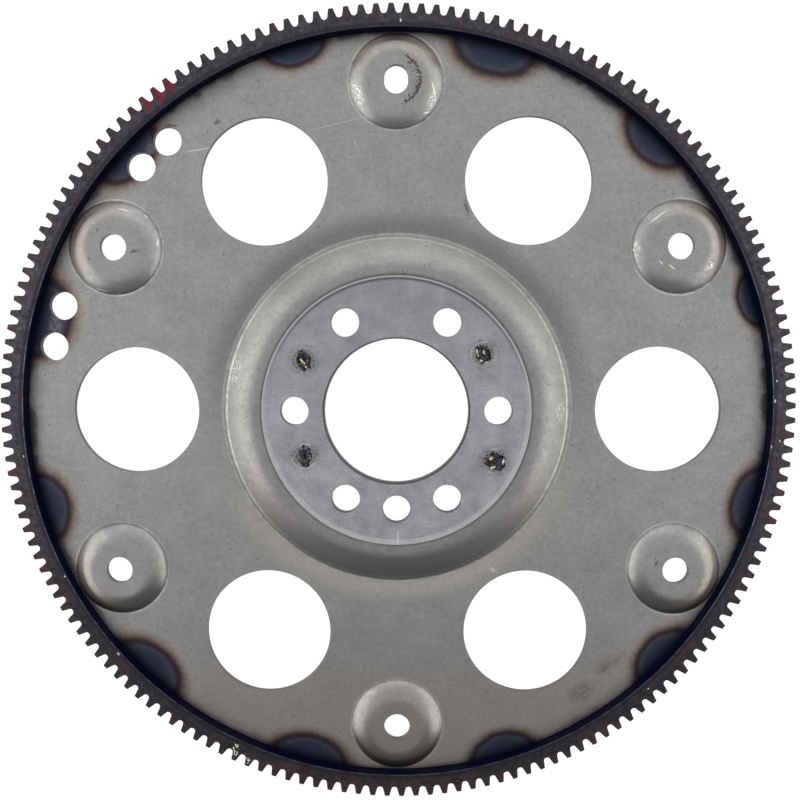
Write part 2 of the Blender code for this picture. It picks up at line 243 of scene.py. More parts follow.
# Hobbed and induction-hardened steel under a thin scale. The scale reads as blue-black with brown
# rust on the teeth and nearly black down the bore, where painted shade deepens it. Painted shade
# also darkens the face towards the bottom and the top of the picture, and a painted highlight
# draws a thin pale line on the bore's edge.
RED_TEETH = (
    (175.6, 124.7, 4.6, 1.9, -14.0), (175.0, 126.8, 5.4, 2.3, -14.0), (175.6, 128.9, 4.6, 1.9, -14.0),
)
SPATTER = ((174.2, 244.6, 3.8, 1.5, 12.0), (176.0, 246.9, 1.7, 1.9, 0.0))
CHIPS = (
    (169.9, 221.2, 0.5, 0.8, 0.0), (169.6, 206.6, 0.4, 0.5, 0.0), (170.6, 4.4, 0.4, 0.5, 0.0),
    (169.6, 1.4, 0.3, 0.9, 0.0), (169.2, 354.4, 0.3, 0.8, 0.0), (172.6, 355.4, 0.3, 0.7, 20.0),
    (171.2, 89.3, 0.9, 0.4, 0.0), (170.2, 187.0, 0.3, 0.6, 0.0), (171.8, 312.0, 0.3, 0.5, 0.0),
)
ring_steel, tree, shader, where = new_material("Scaled and rusted ring gear steel")
out = from_axis(tree, where)
fine = pattern(tree, where, "Noise", 0.8, Detail=5.0, Roughness=0.7)
broad = pattern(tree, where, "Noise", 7.0, Detail=4.0, Roughness=0.6)
high = add_node(tree, "ShaderNodeSeparateXYZ", {0: where}).outputs["Y"]  # up the picture
patch = pattern(tree, where, "Noise", 2.2, Detail=4.0, Roughness=0.65)
scale_tone = add_node(
    tree, "ShaderNodeValToRGB", {"Fac": patch},
    stops=((0.3, "201f25"), (0.47, "35333a"), (0.58, "403d44"), (0.72, "5a575e"))).outputs[0]
# Painted shade: the face is darker towards the bottom of the picture.
toned = layer(tree, scale_tone, "1a191e", (high, 0.03, -0.11, 0.0, 0.76))
rust_place = mask(
    tree, broad, (out, 0.1722, 0.1765, 0.0, 0.16), (high, -0.135, -0.17, 0.0, 0.12), by="ADD")
toned = layer(tree, toned, "3f2c2c", (rust_place, 0.54, 0.74, 0.0, 0.7))
toned = layer(tree, toned, "6a696e", (fine, 0.57, 0.71, 0.0, 0.48))
by_bore = mask(tree, (out, 0.1692, 0.1699), (out, 0.1738, 0.1706))
toned = layer(tree, toned, "472e2d", by_bore, (broad, 0.46, 0.64, 0.0, 0.42))
toned = layer(tree, toned, "17151a", (patch, 0.42, 0.3, 0.0, 0.6))
# Painted shade: the face is a little darker towards the top of the picture as well.
toned = layer(tree, toned, "231f24", (high, 0.04, 0.13, 0.0, 0.36))
line = mask(tree, (out, 0.1686, 0.1687), (out, 0.1692, 0.1689))
toned = layer(tree, toned, "15151f", (out, 0.1686, 0.1692, 0.0, 0.7), (out, 0.1712, 0.17))
# Painted highlight: a thin pale line on the bore's edge, none towards the top of the picture, full at middle
# height and weaker at the bottom.
chamfer_highlight_side = mask(tree, (high, 0.09, 0.02), (high, -0.13, -0.04, 0.35, 0.8))
lengths = pattern(tree, where, "Noise", 4.0, Detail=3.0)
toned = layer(tree, toned, "68707e", line, (lengths, 0.42, 0.6, 0.12, 1.0), chamfer_highlight_side)
# Painted shade: the bore and its chamfer go near black over their dark scale. Below, they are also made
# barely metallic and barely specular.
bore = mask(tree, (out, 0.1688, 0.1686))
toned = layer(tree, toned, "01031a", bore)
torn = mask(tree, pattern(tree, where, "Noise", 2.4, Detail=4.0), 1.6)
paint = mask(tree, near_marks(tree, where, RED_TEETH), torn, by="ADD")
toned = layer(tree, toned, "651322", (paint, 2.0, 1.5), (patch, 0.36, 0.56, 0.35, 0.9))
drops = pattern(tree, where, "Noise", 0.8, Detail=2.0)
splash = mask(tree, (near_marks(tree, where, SPATTER), 1.15, 0.75), (drops, 0.5, 0.56))
chips = mask(tree, near_marks(tree, where, CHIPS), fine, by="ADD")
toned = layer(tree, toned, "c9c6c2", (chips, 1.45, 1.25, 0.0, 0.8))
toned = layer(tree, toned, "d9d4c2", splash)
tree.links.new(toned, shader.inputs["Base Color"])
dull = mask(tree, splash, bore, by="MAXIMUM")
tree.links.new(mask(tree, (dull, 0.0, 1.0, 0.7, 0.0)), shader.inputs["Metallic"])
tree.links.new(mask(tree, (dull, 0.0, 1.0, 0.5, 0.06)), shader.inputs["Specular IOR Level"])
tree.links.new(mask(tree, (fine, 0.3, 0.7, 0.42, 0.62)), shader.inputs["Roughness"])
bump = add_node(tree, "ShaderNodeBump", {"Height": fine, "Strength": 0.3, "Distance": 0.00012})
tree.links.new(bump.outputs[0], shader.inputs["Normal"])
ring.data.materials.append(ring_steel)


# Drive plate: one blank of cold-rolled sheet, pressed into a hub dish and six raised pads, then
# pierced. It is welded into the ring at twelve places from the back, and each weld blued its rim.
SHEET = 3.0 * MM
WEB_TOP = 5.0 * MM
RIM = 168.0 * MM
HUB_BORE = 32.2 * MM
DISH_STEPS = (
    (45.0, 6.5), (58.0, 6.5), (62.5, 6.5), (64.5, 6.43), (66.2, 6.18), (67.8, 5.72), (69.4, 5.02),
    (71.0, 4.12), (72.6, 3.14), (74.2, 2.1), (75.6, 1.15), (76.8, 0.3), (77.7, -0.36), (78.3, -0.68),
    (78.8, -0.78), (79.8, -0.8), (80.8, -0.7), (82.2, -0.5), (83.8, -0.29), (85.4, -0.13),
    (87.2, -0.04), (89.3, 0.0), (92.0, 0.0), (120.0, 0.0),
)
PAD_CIRCLE = 146.5 * MM
PAD_WELD = 21.2 * MM
PAD_STEPS = (
    (21.0, 0.0), (20.8, 0.07), (20.4, 0.36), (19.8, 0.83), (19.1, 1.31), (18.2, 1.83), (17.2, 2.32),
    (16.1, 2.78), (15.0, 3.14), (14.0, 3.38), (13.2, 3.51), (12.4, 3.58), (11.6, 3.6), (8.5, 3.6),
)
PAD_HOLE = 5.95 * MM
SLOT_HALF = (5.3 * MM, 1.1 * MM)
LIGHTENING = (118.62 * MM, 28.5 * MM)
CRANK_BOLTS = (45.47 * MM, 6.35 * MM)
DOWEL = (44.1 * MM, 6.2 * MM)
DOWEL_ANGLE = 270.0
SLOTTED_PAD = 90.0
BALANCE = (158.3 * MM, 6.35 * MM)
BALANCE_ANGLES = (130.35, 136.32, 162.62, 169.47)
EDGE_BREAK = 0.28 * MM
SHEARED_ANGLE = 60.0
DISH_SEGMENTS = 240
PAD_SEGMENTS = 96
LIGHTENING_SEGMENTS = 160
HOLE_SEGMENTS = 64


def around(radius, degrees):
    """Point of the floor plane at this radius and angle."""
    turn = math.radians(degrees)
    return Vector((radius * math.cos(turn), radius * math.sin(turn), 0.0))


def press(centre, base, radius, rise, steps):
    """Draw the picked loop in or out through pressed steps of radius and rise, one after another."""
    for next_radius, next_rise in steps:
        bpy.ops.mesh.extrude_edges_move(TRANSFORM_OT_translate={"value": (0.0, 0.0, next_rise - rise)})
        grow = next_radius / radius
        middle = (centre.x, centre.y, base + next_rise)
        bpy.ops.transform.resize(value=(grow, grow, 1.0), center_override=middle)
        radius, rise = next_radius, next_rise


def pressed_round(radius, rise, steps, base):
    """Draw a round sheet form outwards from one loop about the axis."""
    bpy.ops.object.select_all(action="DESELECT")
    bpy.ops.mesh.primitive_circle_add(vertices=DISH_SEGMENTS, radius=radius, location=(0.0, 0.0, base + rise))
    obj = bpy.context.object
    start_edit(obj)
    bpy.ops.mesh.select_all(action="SELECT")
    press(Vector(), base, radius, rise, steps)
    return obj


def apply_all(obj):
    """Apply every modifier of the object."""
    bpy.ops.object.select_all(action="DESELECT")
    obj.select_set(True)
    bpy.context.view_layer.objects.active = obj
    for modifier in list(obj.modifiers):
        bpy.ops.object.modifier_apply(modifier=modifier.name)


def join_all(objs):
    """Join the objects into the first."""
    bpy.ops.object.select_all(action="DESELECT")
    for obj in objs:
        obj.select_set(True)
    bpy.context.view_layer.objects.active = objs[0]
    bpy.ops.object.join()
    return objs[0]


def thicken(obj, thickness):
    """Give the sheet its gauge, downwards from the pressed face."""
    bpy.ops.mesh.select_all(action="SELECT")
    bpy.ops.mesh.normals_make_consistent(inside=False)
    work = bmesh.from_edit_mesh(obj.data)
    if sum(f.normal.z for f in work.faces) < 0.0:
        bpy.ops.mesh.flip_normals()
    bpy.ops.object.mode_set(mode="OBJECT")
    gauge = obj.modifiers.new("gauge", "SOLIDIFY")
    gauge.thickness = thickness
    gauge.offset = -1.0
    gauge.use_even_offset = True
    apply_all(obj)


def punch(centre, radius, segments=HOLE_SEGMENTS):
    """A round punch, longer than any piece is thick."""
    low, top = -20.0 * MM, 50.0 * MM
    middle = (centre.x, centre.y, (low + top) / 2.0)
    bpy.ops.object.select_all(action="DESELECT")
    bpy.ops.mesh.primitive_cylinder_add(vertices=segments, radius=radius, depth=top - low, location=middle)
    bpy.ops.object.transform_apply(location=True)
    return bpy.context.object


def pierce(obj, punches):
    """Cut the punches out of the sheet and remove them."""
    tool = join_all(punches)
    cut = obj.modifiers.new("pierce", "BOOLEAN")
    cut.operation = "DIFFERENCE"
    cut.solver = "EXACT"
    cut.object = tool
    apply_all(obj)
    bpy.data.objects.remove(tool, do_unlink=True)


def break_edges(obj):
    """Round the sheared edges a little."""
    edge = obj.modifiers.new("edge", "BEVEL")
    edge.width = EDGE_BREAK
    edge.segments = 2
    edge.limit_method = "ANGLE"
    edge.angle_limit = math.radians(SHEARED_ANGLE)
    apply_all(obj)


PAD_ANGLES = [30.0 + 60.0 * i for i in range(6)]
HUB_ANGLES = [60.0 * i for i in range(6)]


def hub_punches():
    """The punches for the crankshaft bolts and the dowel."""
    found = [punch(around(CRANK_BOLTS[0], angle), CRANK_BOLTS[1]) for angle in HUB_ANGLES]
    return found + [punch(around(DOWEL[0], DOWEL_ANGLE), DOWEL[1])]


dish = [(radius * MM, rise * MM) for radius, rise in DISH_STEPS]
plate = pressed_round(HUB_BORE, dish[0][1], dish + [(RIM, 0.0)], WEB_TOP)
thicken(plate, SHEET)
bpy.ops.object.transform_apply(location=True)
pierce(plate, [punch(around(PAD_CIRCLE, angle), PAD_WELD, PAD_SEGMENTS) for angle in PAD_ANGLES])


def on_pad(point, centre):
    """Whether the point lies on the circle where the pad round this centre meets the web."""
    return abs((Vector((point.x, point.y, 0.0)) - centre).length - PAD_WELD) < 1e-4


def far_side(steps):
    """The steps of the other face of the sheet, one gauge away along the normal."""
    found = []
    for index, (radius, rise) in enumerate(steps):
        before, after = steps[max(0, index - 1)], steps[min(len(steps) - 1, index + 1)]
        run = Vector((after[0] - before[0], after[1] - before[1])).normalized()
        found.append((radius - SHEET * run.y, rise + SHEET * run.x))
    return found


pad_steps = [(radius * MM, rise * MM) for radius, rise in PAD_STEPS]
start_edit(plate)
for angle in PAD_ANGLES:
    centre = around(PAD_CIRCLE, angle)
    pick(plate, "faces", lambda p, f: abs(f.normal.z) < 0.1 and on_pad(p, centre))
    bpy.ops.mesh.delete(type="FACE")
    for rise, steps in ((0.0, pad_steps), (-SHEET, far_side(pad_steps))):
        on_face = lambda p: abs(p.z - WEB_TOP - rise) < SHEET / 2.0
        pick(plate, "edges", lambda p, e: e.is_boundary and on_pad(p, centre) and on_face(p))
        press(centre, WEB_TOP, PAD_WELD, rise, steps)
        bpy.ops.mesh.edge_face_add()
bpy.ops.mesh.select_all(action="SELECT")
bpy.ops.mesh.normals_make_consistent(inside=False)
bpy.ops.object.mode_set(mode="OBJECT")
punches = [punch(around(LIGHTENING[0], angle), LIGHTENING[1], LIGHTENING_SEGMENTS) for angle in HUB_ANGLES]
punches += hub_punches()
punches += [punch(around(BALANCE[0], angle), BALANCE[1]) for angle in BALANCE_ANGLES]
for angle in PAD_ANGLES:
    if angle == SLOTTED_PAD:
        slot_punch = punch(around(PAD_CIRCLE, angle), SLOT_HALF[0])
        start_edit(slot_punch)
        for side in (-1.0, 1.0):
            pick(slot_punch, "verts", lambda p, v: (p.y - PAD_CIRCLE) * side > 1e-5)
            bpy.ops.transform.translate(value=(0.0, side * SLOT_HALF[1], 0.0))
        bpy.ops.object.mode_set(mode="OBJECT")
        punches.append(slot_punch)
    else:
        punches.append(punch(around(PAD_CIRCLE, angle), PAD_HOLE))
pierce(plate, punches)
break_edges(plate)
finish_piece(plate, "pressed_sheet", 32.0)
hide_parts("drive_plate")
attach(plate, "root")

# Cold-rolled sheet, bare and dry. It reads as warm grey with soft clouds, fine pits and hairlines.
# Welding from the back left twelve blue-black half ovals on the rim, each in a brown halo. Round each
# pad's foot, a dark crease is painted shade and a bright line beyond it is a painted highlight. The
# bright patches and glints on the pads and the dish are painted highlights.
HEAT_MARKS = (
    (168.6, 17.2, 7.5, 12.1, 0.0), (168.6, 46.4, 11.4, 16.3, 0.0), (168.6, 74.7, 13.6, 19.3, 0.0),
    (168.6, 105.6, 9.1, 13.6, 0.0), (168.6, 136.3, 12.2, 16.6, 0.0), (168.6, 165.4, 15.6, 18.4, 0.0),
    (168.6, 195.5, 12.2, 16.0, 0.0), (168.6, 226.4, 12.5, 17.8, 0.0), (168.6, 255.8, 11.4, 17.5, 0.0),
    (168.6, 287.2, 10.4, 15.1, 0.0), (168.6, 317.0, 10.6, 15.7, 0.0), (168.6, 345.4, 10.6, 16.3, 0.0),
)
# Painted highlights: bright patches on the pads, and on the dish slope at the left and right.
PAINTED_HIGHLIGHTS = (
    (141.7, 96.9, 2.5, 6.4, -71.9), (138.9, 83.4, 1.7, 5.0, -100.4), (129.4, 33.8, 1.8, 3.8, -33.8),
    (153.6, 24.6, 1.7, 5.0, -57.1), (75.4, 166.2, 3.6, 7.5, 0.0), (74.6, 359.0, 3.0, 6.0, 0.0),
)
PAD_GLINTS = (
    (145.1, 36.5, 5.6, 0.3, 0.5), (151.5, 143.6, 3.7, 0.3, -157.6), (142.5, 142.2, 1.1, 0.35, -182.2),
    (143.9, 157.8, 3.4, 0.4, -175.8), (131.3, 144.9, 0.35, 2.0, -144.9), (135.1, 29.2, 1.5, 0.45, -69.2),
    (138.4, 27.5, 2.2, 0.45, -62.5), (133.1, 84.2, 1.8, 0.35, -69.2), (143.2, 83.3, 0.3, 4.2, -68.3),
)
SCRATCHES = (
    (130.8, 101.3, 13.4, 0.13, -88.3), (146.6, 127.2, 6.8, 0.28, -117.6), (120.0, 98.6, 3.4, 0.12, -161.6),
    (86.0, 300.8, 1.4, 1.0, 40.0),
)
SCUFFS = (
    (96.2, 70.9, 0.8, 3.9, 127.8), (163.0, 128.5, 0.8, 3.8, -38.5), (151.8, 121.9, 1.0, 1.5, 0.0),
    (162.0, 160.0, 1.0, 4.0, 0.0), (137.3, 329.3, 1.6, 0.6, -274.3), (156.5, 148.8, 0.6, 0.8, 0.0),
    (153.6, 153.6, 0.7, 1.0, 0.0), (137.4, 148.7, 2.2, 0.9, -128.7),
)
SMUDGES = ((153.6, 309.6, 7.4, 3.0, -272.6), (156.6, 303.0, 6.4, 4.6, -266.0))
SMUDGE_TURN = 37.0
SMUDGE_GRAIN = (6.0 * MM, 0.8 * MM, 1.0)
WIPED = ((159.6, 166.2, 3.0, 6.2, 8.0), (160.6, 132.6, 2.6, 4.6, -6.0))
PITTED_ARC = 10.6 * MM
HAIRLINES = ((12.0, 60.0 * MM), (74.0, 35.0 * MM), (-38.0, 45.0 * MM))
HAIR_WIDTH = 0.35 * MM
sheet_steel, tree, shader, where = new_material("Bare cold-rolled sheet steel")
out = from_axis(tree, where)
clouds = pattern(tree, where, "Noise", 14.0, Detail=5.0, Roughness=0.6)
mottle = pattern(tree, where, "Noise", 2.6, Detail=4.0, Roughness=0.65)
tooth = pattern(tree, where, "Noise", 0.8, Detail=4.0, Roughness=0.7)
tone = mask(tree, mask(tree, clouds, 0.28), mask(tree, mottle, 0.3), mask(tree, tooth, 0.42), by="ADD")
toned = add_node(
    tree, "ShaderNodeValToRGB", {"Fac": tone},
    stops=((0.34, "777573"), (0.5, "868583"), (0.64, "94928f"))).outputs[0]

# Pits and hairlines: small dark dots in a few cells, and stretched noise turned three ways.
cells = pattern(tree, where, "Voronoi", 3.2)
pits = mask(tree, (cells, 0.17, 0.09), (pattern(tree, where, "Noise", 9.0, Detail=3.0), 0.46, 0.58))
toned = layer(tree, toned, "4c4845", pits, 0.55)
for turn, length in HAIRLINES:
    lean = (0.0, 0.0, math.radians(turn))
    settings = {"Vector": where, "Rotation": lean, "Scale": (length, HAIR_WIDTH, 1.0)}
    along = add_node(tree, "ShaderNodeMapping", settings, vector_type="TEXTURE").outputs[0]
    hair = add_node(tree, "ShaderNodeTexNoise", {"Vector": along, "Scale": 1.0, "Detail": 1.0}).outputs[0]
    toned = layer(tree, toned, "b8b5b0", (hair, 0.7, 0.78, 0.0, 0.22))
    toned = layer(tree, toned, "6a6663", (hair, 0.3, 0.24, 0.0, 0.25))

# Pads: painted shade in the crease at the foot and a painted highlight on the line beyond it, the
# brown stain on the side by the ring, and painted highlights on the pads and the dish.
pad_foot = PAD_STEPS[0][0]
pad_gap = near_marks(tree, where, [(PAD_CIRCLE / MM, angle, pad_foot, pad_foot, 0.0) for angle in PAD_ANGLES])
pad_gap = mask(tree, pad_gap, (mottle, 0.3, 0.7, -0.006, 0.006), by="ADD")
# Painted shade in the crease at each pad's foot, and a painted highlight on the line just beyond it.
crease_shade = mask(tree, (pad_gap, 0.955, 0.985), (pad_gap, 1.015, 0.99))
fold_highlight = mask(tree, (pad_gap, 1.005, 1.02), (pad_gap, 1.05, 1.03))
toned = layer(tree, toned, "3c3a3b", crease_shade, (clouds, 0.3, 0.6, 0.65, 0.3))
toned = layer(tree, toned, "bdbcb9", fold_highlight, (clouds, 0.4, 0.6, 0.1, 0.5))
pad_side = mask(tree, (pad_gap, 0.55, 0.75), (pad_gap, 1.0, 0.95))
toned = layer(tree, toned, "86714f", pad_side, (out, 0.146, 0.162, 0.0, 0.2))
spot = add_node(tree, "ShaderNodeSeparateXYZ", {0: where}).outputs
high = spot["Y"]
toned = layer(tree, toned, "7a6450", pad_side, (high, -0.06, -0.085, 0.0, 0.12))
by_ring = mask(tree, (pad_gap, 0.78, 0.9), (pad_gap, 1.0, 0.97), (out, 0.151, 0.16), (high, -0.094, -0.078))
toned = layer(tree, toned, "6b5648", by_ring, 0.35)
# Painted highlights: the bright patches.
highlight_gap = mask(tree, near_marks(tree, where, PAINTED_HIGHLIGHTS), mask(tree, tooth, 1.5), by="ADD")
toned = layer(tree, toned, "ebe7da", (highlight_gap, 2.1, 1.2), (tooth, 0.5, 0.62), 0.7)
# Painted highlights: thin bright glints on the pads.
glint_gap = mask(tree, near_marks(tree, where, PAD_GLINTS), tooth, by="ADD")
toned = layer(tree, toned, "ece9dc", (glint_gap, 1.6, 0.9, 0.0, 0.5))

# Brown stain and painted shade on the web by the ring, then scuffs, and a smudge wiped one way.
# By the ring: partly a brown stain and partly painted shade, going nearly black at the ring, weaker on the
# lower side and stronger at the upper left.
stain_and_shade = mask(tree, out, (clouds, 0.3, 0.7, -0.0022, 0.0022), by="ADD")
less_low = mask(tree, (high, -0.12, -0.05, 0.55, 1.0))
toned = layer(tree, toned, "4a403d", (stain_and_shade, 0.1605, 0.1665, 0.0, 0.26), less_low)
toned = layer(tree, toned, "23222b", (stain_and_shade, 0.165, 0.1685, 0.0, 0.8), less_low)
upper_left = mask(tree, (high, 0.02, 0.09), (spot["X"], 0.03, -0.06))
toned = layer(tree, toned, "474344", (stain_and_shade, 0.156, 0.167, 0.0, 0.3), upper_left)
scuff_edge = mask(tree, pattern(tree, where, "Noise", 0.9, Detail=4.0), 2.2)
scuff_gap = mask(tree, near_marks(tree, where, SCUFFS), scuff_edge, by="ADD")
toned = layer(tree, toned, "463b35", (scuff_gap, 2.2, 1.6, 0.0, 0.65))
lean = (0.0, 0.0, math.radians(SMUDGE_TURN))
settings = {"Vector": where, "Rotation": lean, "Scale": SMUDGE_GRAIN}
along = add_node(tree, "ShaderNodeMapping", settings, vector_type="TEXTURE").outputs[0]
wiped = add_node(tree, "ShaderNodeTexNoise", {"Vector": along, "Scale": 1.0, "Detail": 3.0}).outputs[0]
smudge = mask(tree, (near_marks(tree, where, SMUDGES), 1.5, 0.3), (wiped, 0.34, 0.64, 0.15, 0.62))
toned = layer(tree, toned, "5a4d3c", smudge)

# The pitted arc beside the slotted hole: dark specks, closest together along one radius. Scratches
# lie over it, and the lower half of the sheet is a little warmer.
pad_place = around(PAD_CIRCLE, SLOTTED_PAD)
settings = {"Vector": where, "Location": (pad_place.x, pad_place.y, 0.0)}
by_pad = add_node(tree, "ShaderNodeMapping", settings, vector_type="TEXTURE").outputs[0]
arc = from_axis(tree, by_pad)
across = add_node(tree, "ShaderNodeSeparateXYZ", {0: by_pad}).outputs["X"]
core = mask(tree, (arc, 0.0099, PITTED_ARC, 0.0, 0.17), (arc, 0.0115, PITTED_ARC))
skirt = mask(tree, (arc, 0.0064, 0.0098, 0.0, 0.15), (arc, 0.0124, 0.0112))
density = mask(tree, mask(tree, core, skirt, by="ADD"), (across, 0.001, 0.0055))
specks = mask(tree, density, pattern(tree, where, "Noise", 0.9, Detail=3.0), by="ADD")
toned = layer(tree, toned, "3a2f2e", (specks, 0.66, 0.73), (density, 0.0, 0.06, 0.0, 0.8))
scratch_gap = mask(tree, near_marks(tree, where, SCRATCHES), mottle, by="ADD")
toned = layer(tree, toned, "c9c7c3", (scratch_gap, 1.6, 1.3, 0.0, 0.5))
toned = layer(tree, toned, "89766c", (high, -0.08, -0.16, 0.0, 0.2), (pad_side, 0.0, 1.0, 1.0, 0.1))

# Dish: painted shade beside the disc with the disc's painted shadow along its edge, painted light down
# the slope and painted shade on its lower side, painted shade and light in the trough, and at the foot
# painted highlight lines with painted shade in the crease between them.
# Painted shade beside the disc, and the disc's painted shadow along its edge.
toned = layer(tree, toned, "605c5a", (out, 0.0665, 0.0635, 0.0, 0.15))
toned = layer(tree, toned, "3a3836", (out, 0.0622, 0.0602, 0.0, 0.65))
# Painted light on the outer part of the slope, and painted shade on its lower side.
bright_slope = mask(tree, (out, 0.0675, 0.0715), (out, 0.0785, 0.077))
toned = layer(tree, toned, "b3b2a9", bright_slope, 0.2)
lower_slope = mask(tree, (out, 0.0625, 0.067), (out, 0.0785, 0.076))
toned = layer(tree, toned, "7a666e", lower_slope, (high, 0.0, -0.05, 0.0, 0.16))
# Painted shade in the trough above the middle of the picture, and painted light below it.
trough = mask(tree, (out, 0.079, 0.0803), (out, 0.0935, 0.0825))
toned = layer(tree, toned, "5b5a5c", trough, (high, -0.02, 0.06, 0.0, 0.52))
toned = layer(tree, toned, "9d9790", trough, (high, -0.01, -0.06, 0.0, 0.38))
# At the foot: a painted highlight line, strongest at the left and right, painted shade in the crease just
# outside it, and a fainter painted highlight beyond.
foot = mask(tree, out, (clouds, 0.3, 0.7, -0.00012, 0.00012), by="ADD")
foot_highlight = mask(tree, (foot, 0.077, 0.0773), (foot, 0.0778, 0.0775))
foot_crease_shade = mask(tree, (foot, 0.0777, 0.078), (foot, 0.0791, 0.0787))
outer_highlight = mask(tree, (foot, 0.079, 0.0793), (foot, 0.08, 0.0796))
off_middle = add_node(tree, "ShaderNodeMath", {0: high}, operation="ABSOLUTE").outputs[0]
foot_highlight = mask(tree, foot_highlight, (off_middle, 0.065, 0.02, 0.35, 1.0))
toned = layer(tree, toned, "d0cdc6", foot_highlight, (mottle, 0.35, 0.6, 0.3, 0.9))
toned = layer(tree, toned, "4a4746", foot_crease_shade, 0.3)
toned = layer(tree, toned, "bab6b0", outer_highlight, (mottle, 0.35, 0.6, 0.1, 0.35))


def upright_share(tree):
    """How far the surface stands upright, as the sheared wall of a hole does."""
    normal = add_node(tree, "ShaderNodeNewGeometry").outputs["Normal"]
    up = add_node(tree, "ShaderNodeSeparateXYZ", {0: normal}).outputs["Z"]
    slope = add_node(tree, "ShaderNodeMath", {0: up}, operation="ABSOLUTE").outputs[0]
    return mask(tree, (slope, 0.6, 0.25))


# Heat tint over all of it, with painted shade on it towards the ring, then the sheared walls of the
# holes and the rim, painted dark and dull as shade.
heat = near_marks(tree, where, HEAT_MARKS)
heat_edge = pattern(tree, where, "Noise", 9.0, Detail=2.0)
heat = mask(tree, heat, (heat_edge, 0.25, 0.75, -0.03, 0.03), by="ADD")
streaks = pattern(tree, where, "Noise", 1.4, Detail=3.0)
tint = add_node(tree, "ShaderNodeValToRGB", {"Fac": mask(tree, heat, 1.2, by="DIVIDE")}, stops=(
    (0.2, "2c3146"), (0.43, "2c3242"), (0.54, "303644"), (0.62, "3a3c46"), (0.68, "403e4a"),
    (0.735, "342f3a"), (0.785, "302930"), (0.835, "3e3132"), (0.885, "594941"), (0.935, "6b5d54"),
    (1.0, "756960"),
)).outputs[0]
tint = layer(tree, tint, "262832", (streaks, 0.4, 0.7, 0.0, 0.35))
pale = mask(tree, (near_marks(tree, where, WIPED), 1.3, 0.5), (streaks, 0.35, 0.65, 0.2, 0.75))
tint = layer(tree, tint, "66636a", pale)
# Painted shade: the heat tint darkens towards the ring.
tint = layer(tree, tint, "15161f", (out, 0.163, 0.1678, 0.0, 0.6))
toned = layer(tree, toned, tint, (heat, 1.44, 1.08))
# Painted shade: the upright walls are darkened, and below they are made non-metallic and barely specular.
wall = upright_share(tree)
toned = layer(tree, toned, "57524f", wall, 0.9)
tree.links.new(toned, shader.inputs["Base Color"])
high_side = mask(tree, pad_side, (high, 0.0, 0.06, 0.0, 0.3))
film_and_wall_shade = mask(tree, wall, mask(tree, by_ring, 0.66), high_side, by="MAXIMUM")
tree.links.new(mask(tree, (film_and_wall_shade, 0.0, 1.0, 1.0, 0.0)), shader.inputs["Metallic"])
tree.links.new(mask(tree, (wall, 0.0, 1.0, 0.5, 0.1)), shader.inputs["Specular IOR Level"])
rough = mask(tree, (tone, 0.35, 0.65, 0.52, 0.4), (pad_gap, 1.0, 0.95, 0.0, 0.1), by="SUBTRACT")
tree.links.new(rough, shader.inputs["Roughness"])
relief = mask(tree, tooth, mask(tree, pits, 2.0), by="SUBTRACT")
bump = add_node(tree, "ShaderNodeBump", {"Height": relief, "Strength": 0.22, "Distance": 0.0001})
tree.links.new(bump.outputs[0], shader.inputs["Normal"])
plate.data.materials.append(sheet_steel)


# Hub disc: a flat blanked disc that spreads the load of the crankshaft bolts. It is finer ground
# than the sheet, and its blanked rim stands up in a thin lip. Four spots weld it to the sheet.
DISC_BOTTOM = 11.8 * MM
DISC_GAUGE = 3.0 * MM
DISC_STEPS = ((40.0, 0.0), (50.0, 0.0), (57.2, 0.0), (57.8, 0.07), (58.7, 0.23), (59.5, 0.36), (60.02, 0.4))
HUB_WELDS = ((151.0, 46.9), (33.3, 46.1), (206.3, 45.7), (332.8, 49.1))
HUB_WELD_RADIUS = 3.0 * MM
SEAT_GAP = 0.3 * MM
WELD_SEGMENTS = 24
disc_top = DISC_BOTTOM + DISC_GAUGE
lip = DISC_STEPS[-1][1] * MM
disc_steps = [(radius * MM, rise * MM - lip) for radius, rise in DISC_STEPS]
disc = pressed_round(HUB_BORE, -lip, disc_steps, disc_top)
thicken(disc, DISC_GAUGE - lip)
weld_hole = HUB_WELD_RADIUS + SEAT_GAP
punches = hub_punches()
punches += [punch(around(radius * MM, angle), weld_hole, WELD_SEGMENTS) for angle, radius in HUB_WELDS]
pierce(disc, punches)
break_edges(disc)
finish_piece(disc, "hub_disc", 32.0)
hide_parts("hub_plate")
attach(disc, "root")

# Ground steel, bare. It reads as a cooler, more even grey than the sheet, with tiny dark specks and a
# brown smudge round each weld. On the blanked rim's lip, painted shade darkens the upper side and
# painted highlights brighten the lower side and the outer edge. Painted shade also darkens the upper
# half of the disc and its upright walls.
SCRIBED_LINE = (56.5, 270.65, 3.4, 0.16, 0.0)
WELD_SMUDGES = [(radius, angle, 6.2, 5.8, 0.0) for angle, radius in HUB_WELDS]
disc_steel, tree, shader, where = new_material("Ground steel disc")
out = from_axis(tree, where)
clouds = pattern(tree, where, "Noise", 9.0, Detail=5.0, Roughness=0.6)
tooth = pattern(tree, where, "Noise", 0.9, Detail=4.0, Roughness=0.7)
tone = mask(tree, mask(tree, clouds, 0.5), mask(tree, tooth, 0.5), by="ADD")
toned = add_node(
    tree, "ShaderNodeValToRGB", {"Fac": tone},
    stops=((0.34, "77797d"), (0.5, "8e8f92"), (0.64, "9fa0a1"))).outputs[0]
cells = pattern(tree, where, "Voronoi", 2.6)
pits = mask(tree, (cells, 0.12, 0.06), (pattern(tree, where, "Noise", 7.0, Detail=3.0), 0.52, 0.64))
toned = layer(tree, toned, "45474b", pits, 0.6)
high = add_node(tree, "ShaderNodeSeparateXYZ", {0: where}).outputs["Y"]
